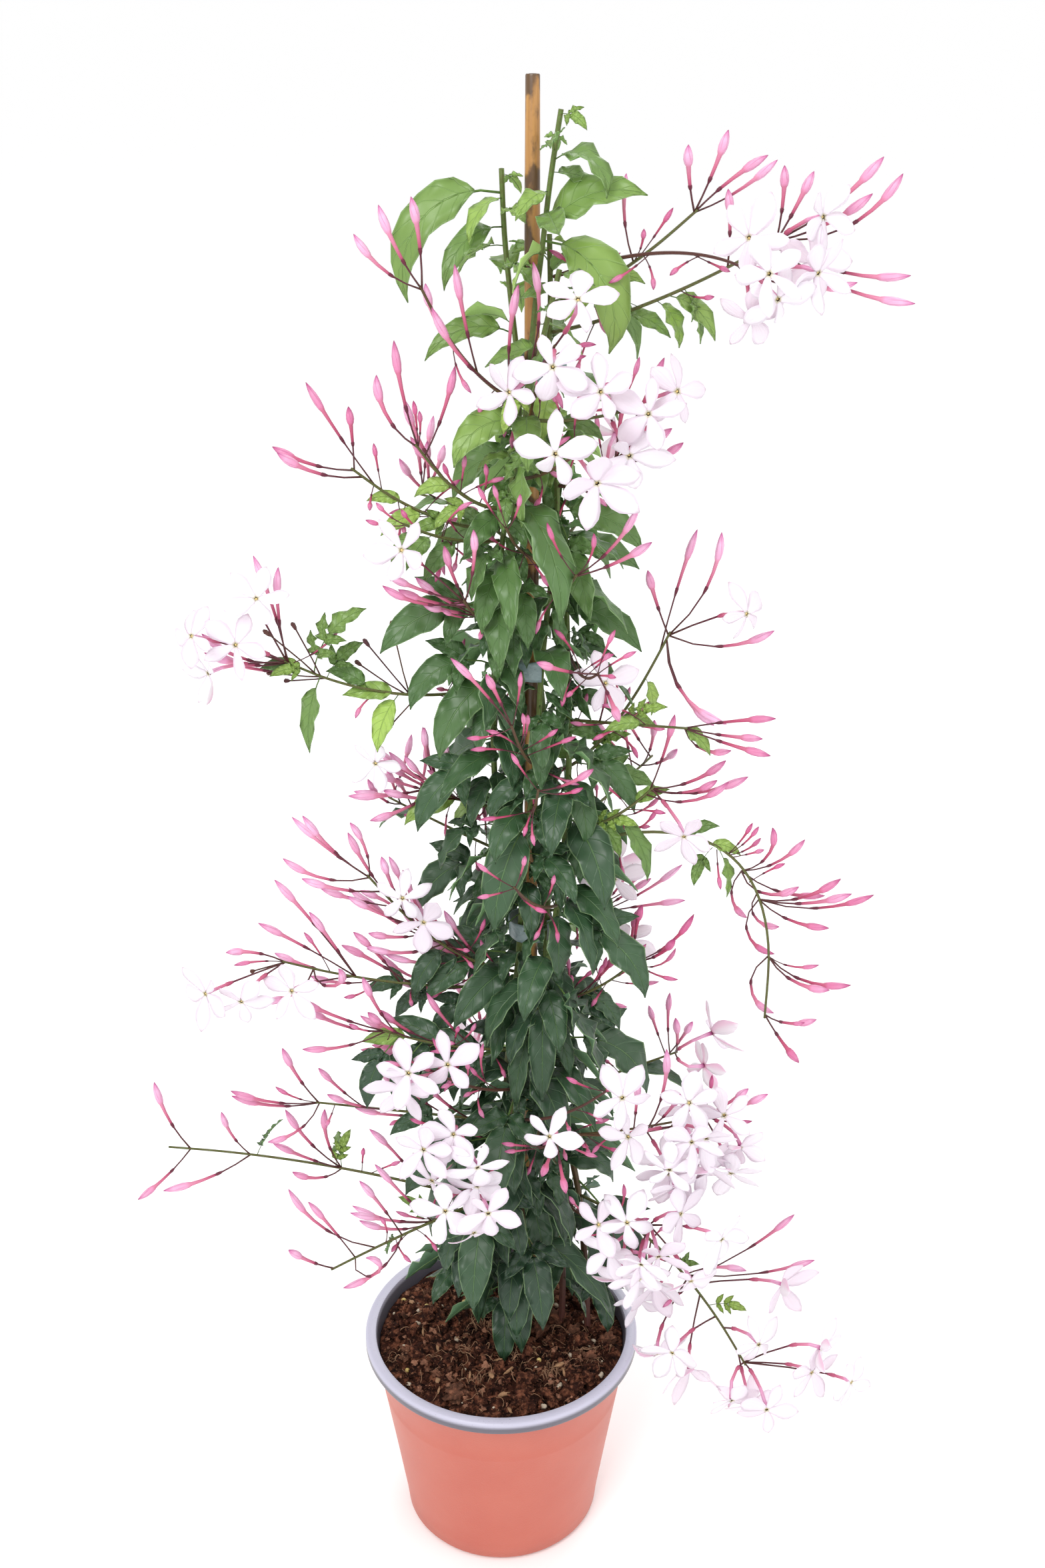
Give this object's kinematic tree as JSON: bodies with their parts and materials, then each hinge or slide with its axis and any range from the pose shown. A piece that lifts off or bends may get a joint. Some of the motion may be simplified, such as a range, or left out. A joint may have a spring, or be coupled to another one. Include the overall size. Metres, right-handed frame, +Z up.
{
  "type": "potted pink jasmine",
  "caption": "Pink jasmine climber tied up a bamboo cane in a round plastic pot, with dark glossy leaves, pink buds and white star flowers.",
  "frame": {"origin": "middle of the pot's underside, on the surface that it stands on", "axes": "+Z up along the cane, -Y towards the viewer of the reference picture, +X to that viewer's right"},
  "size_m": [0.3847, 0.2297, 0.765],
  "materials": {
    "pot_plastic": "satin thermoformed plastic, salmon pink with a pale grey rim",
    "potting_mix": "rough, crumbly, damp peat",
    "bamboo": "satin bamboo skin with dark mottling",
    "tie_plastic": "smooth grey-blue soft plastic",
    "foliage": "glossy living leaf, dark below and light green above",
    "blossom": "silky petals and buds, white to pink, on brown-purple stems"
  },
  "bodies": {
    "root": {"buds_core": "blossom", "buds_front_low": "blossom", "buds_front_mid": "blossom", "buds_front_right": "blossom", "buds_front_upper": "blossom", "buds_upper_front": "blossom", "buds_upper_right": "blossom", "bunch_low_front": "blossom", "bunch_low_left": "blossom", "bunch_low_right": "blossom", "bunch_low_right_far": "blossom", "bunch_low_right_under": "blossom", "cane": "bamboo", "pot": "pot_plastic", "raceme_right": "blossom", "shoot_long_left": "blossom", "shoot_low_right": "blossom", "shoot_right_upper": "blossom", "soil": "potting_mix", "spray_back_1": "blossom", "spray_back_2": "blossom", "spray_back_3": "blossom", "spray_back_4": "blossom", "spray_back_5": "blossom", "spray_back_6": "blossom", "spray_back_7": "blossom", "spray_back_8": "blossom", "spray_crown_front": "blossom", "spray_crown_low": "blossom", "spray_crown_right": "blossom", "spray_far_left": "blossom", "spray_front_left": "blossom", "spray_front_single": "blossom", "spray_left_branch": "blossom", "spray_left_dark": "blossom", "spray_left_fan": "blossom", "spray_left_low": "blossom", "spray_left_lower": "blossom", "spray_left_pale": "blossom", "spray_left_pink": "blossom", "spray_left_rising": "blossom", "spray_left_upper": "blossom", "spray_lower_left": "blossom", "spray_right_buds": "blossom", "spray_right_dark": "blossom", "spray_right_low_mid": "blossom", "spray_right_mid": "blossom", "spray_right_pale": "blossom", "spray_top_left": "blossom", "spray_top_right": "blossom", "spray_top_right_low": "blossom", "spray_top_right_upper": "blossom", "tie_1": "tie_plastic", "tie_2": "tie_plastic", "tie_3": "tie_plastic", "vine_back": "foliage", "vine_front": "foliage", "vine_left": "foliage", "vine_outer_left": "foliage", "vine_outer_right": "foliage"}
  },
  "joints": []
}
